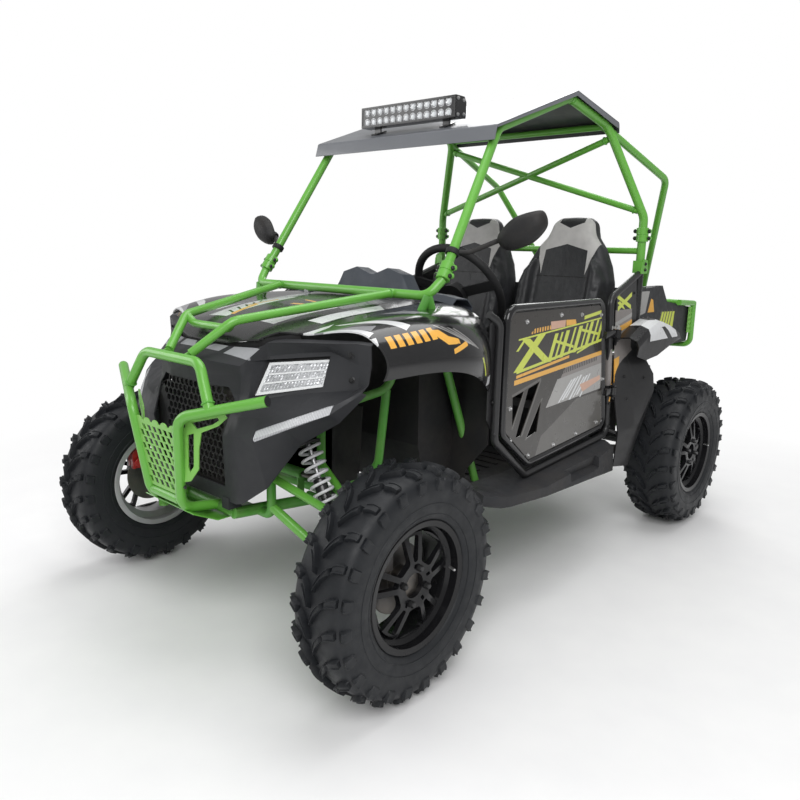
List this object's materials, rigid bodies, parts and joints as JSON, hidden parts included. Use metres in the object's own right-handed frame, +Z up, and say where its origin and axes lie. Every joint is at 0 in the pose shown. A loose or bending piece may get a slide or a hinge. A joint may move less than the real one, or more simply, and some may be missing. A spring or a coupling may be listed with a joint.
{
  "type": "side by side utv",
  "caption": "Open two-seat off-road utility vehicle with a tubular roll cage, fold-out side doors, steered front wheels, bumper, roof sheet and a small cargo bed.",
  "frame": {"origin": "on the ground below the middle of the vehicle's length and width", "axes": "+Z up, front of the vehicle faces -Y, the driver's left side is +X"},
  "size_m": [1.394, 2.4213, 1.6079],
  "materials": {
    "green_tube": "bright green powder coat, satin gloss",
    "roof_sheet": "dark grey powder coat",
    "black_metal": "black, satin",
    "black_moulding": "black moulded plastic, fine grain",
    "grey_moulding": "grey moulded plastic",
    "side_moulding": "dark grey moulded plastic",
    "gloss_body": "gloss black with coloured decals",
    "lamp": "clear lens over white reflector",
    "red_lamp": "red lens",
    "frame_paint": "gloss black paint",
    "door_sheet": "satin black with coloured stripes",
    "seat_vinyl": "black vinyl with grey accents",
    "wheel_rubber": "soft black grip",
    "bed_sheet": "dark grey textured paint",
    "cast_metal": "cast, dull",
    "steel": "bare and plated steel",
    "spring_white": "white springs on dark dampers",
    "tyre": "matte rubber",
    "rim_paint": "gloss black"
  },
  "bodies": {
    "chassis": {"bed_frame": "green_tube", "bumper": "green_tube", "cage_cross": "green_tube", "cage_left": "green_tube", "cage_right": "green_tube", "cargo_bed": "bed_sheet", "dash": "grey_moulding", "engine_block": "cast_metal", "fascia": "black_moulding", "floor_pan": "black_moulding", "front_arms": "green_tube", "front_fenders": "gloss_body", "grille": "black_moulding", "headlights": "lamp", "hood": "gloss_body", "hood_tubes": "green_tube", "light_bar": "black_metal", "main_frame": "green_tube", "mirrors": "black_moulding", "muffler": "steel", "rear_arms": "frame_paint", "rear_fenders": "black_moulding", "rockers": "black_moulding", "roof_panel": "roof_sheet", "seat_deck": "black_moulding", "seat_left": "seat_vinyl", "seat_right": "seat_vinyl", "shocks": "spring_white", "side_panels": "side_moulding", "steering_column": "black_metal", "strip_lamps": "lamp", "tail_lamps": "red_lamp"},
    "steering_wheel": {"steering_wheel": "wheel_rubber"},
    "door_left": {"door_frame_left": "frame_paint", "door_panel_left": "door_sheet"},
    "door_right": {"door_frame_right": "frame_paint", "door_panel_right": "door_sheet"},
    "knuckle_left": {"knuckle_left": "cast_metal"},
    "knuckle_right": {"knuckle_right": "cast_metal"},
    "steering_rack": {"steering_rack": "steel"},
    "wheel_front_left": {"tyre_front_left": "tyre", "rim_front_left": "rim_paint", "hub_front_left": "steel"},
    "wheel_front_right": {"tyre_front_right": "tyre", "rim_front_right": "rim_paint", "hub_front_right": "steel"},
    "wheel_rear_left": {"tyre_rear_left": "tyre", "rim_rear_left": "rim_paint", "hub_rear_left": "steel"},
    "wheel_rear_right": {"tyre_rear_right": "tyre", "rim_rear_right": "rim_paint", "hub_rear_right": "steel"}
  },
  "joints": [
    {"name": "steer_left", "type": "hinge", "parent": "chassis", "child": "knuckle_left", "pos_m": [0.505, -0.9, 0.295], "axis": [0, 0, 1], "range_deg": [-25, 25]},
    {"name": "steer_right", "type": "hinge", "parent": "chassis", "child": "knuckle_right", "pos_m": [-0.505, -0.9, 0.295], "axis": [0, 0, 1], "range_deg": [-25, 25]},
    {"name": "steering_wheel_turn", "type": "hinge", "parent": "chassis", "child": "steering_wheel", "pos_m": [0.225, -0.232, 0.948], "axis": [0, 0.866, 0.5], "range_deg": [-250, 250]},
    {"name": "rack_slide", "type": "slide", "parent": "chassis", "child": "steering_rack", "axis": [1, 0, 0], "range_m": [-0.045, 0.045]},
    {"name": "roll_front_left", "type": "hinge", "parent": "knuckle_left", "child": "wheel_front_left", "pos_m": [0.585, -0.9, 0.295], "axis": [1, 0, 0], "continuous": true},
    {"name": "roll_front_right", "type": "hinge", "parent": "knuckle_right", "child": "wheel_front_right", "pos_m": [-0.585, -0.9, 0.295], "axis": [1, 0, 0], "continuous": true},
    {"name": "roll_rear_left", "type": "hinge", "parent": "chassis", "child": "wheel_rear_left", "pos_m": [0.597, 0.795, 0.295], "axis": [1, 0, 0], "continuous": true},
    {"name": "roll_rear_right", "type": "hinge", "parent": "chassis", "child": "wheel_rear_right", "pos_m": [-0.597, 0.795, 0.295], "axis": [1, 0, 0], "continuous": true},
    {"name": "door_left_open", "type": "hinge", "parent": "chassis", "child": "door_left", "pos_m": [0.526, 0.32, 0.7], "axis": [0, 0, 1], "range_deg": [0, 75]},
    {"name": "door_right_open", "type": "hinge", "parent": "chassis", "child": "door_right", "pos_m": [-0.526, 0.32, 0.7], "axis": [0, 0, -1], "range_deg": [0, 75]}
  ],
  "couplings": [
    {"joint": "steer_right", "follows": "steer_left", "ratio": 1},
    {"joint": "steering_wheel_turn", "follows": "steer_left", "ratio": 10},
    {"joint": "rack_slide", "follows": "steer_left", "m_per_rad": -0.1}
  ]
}
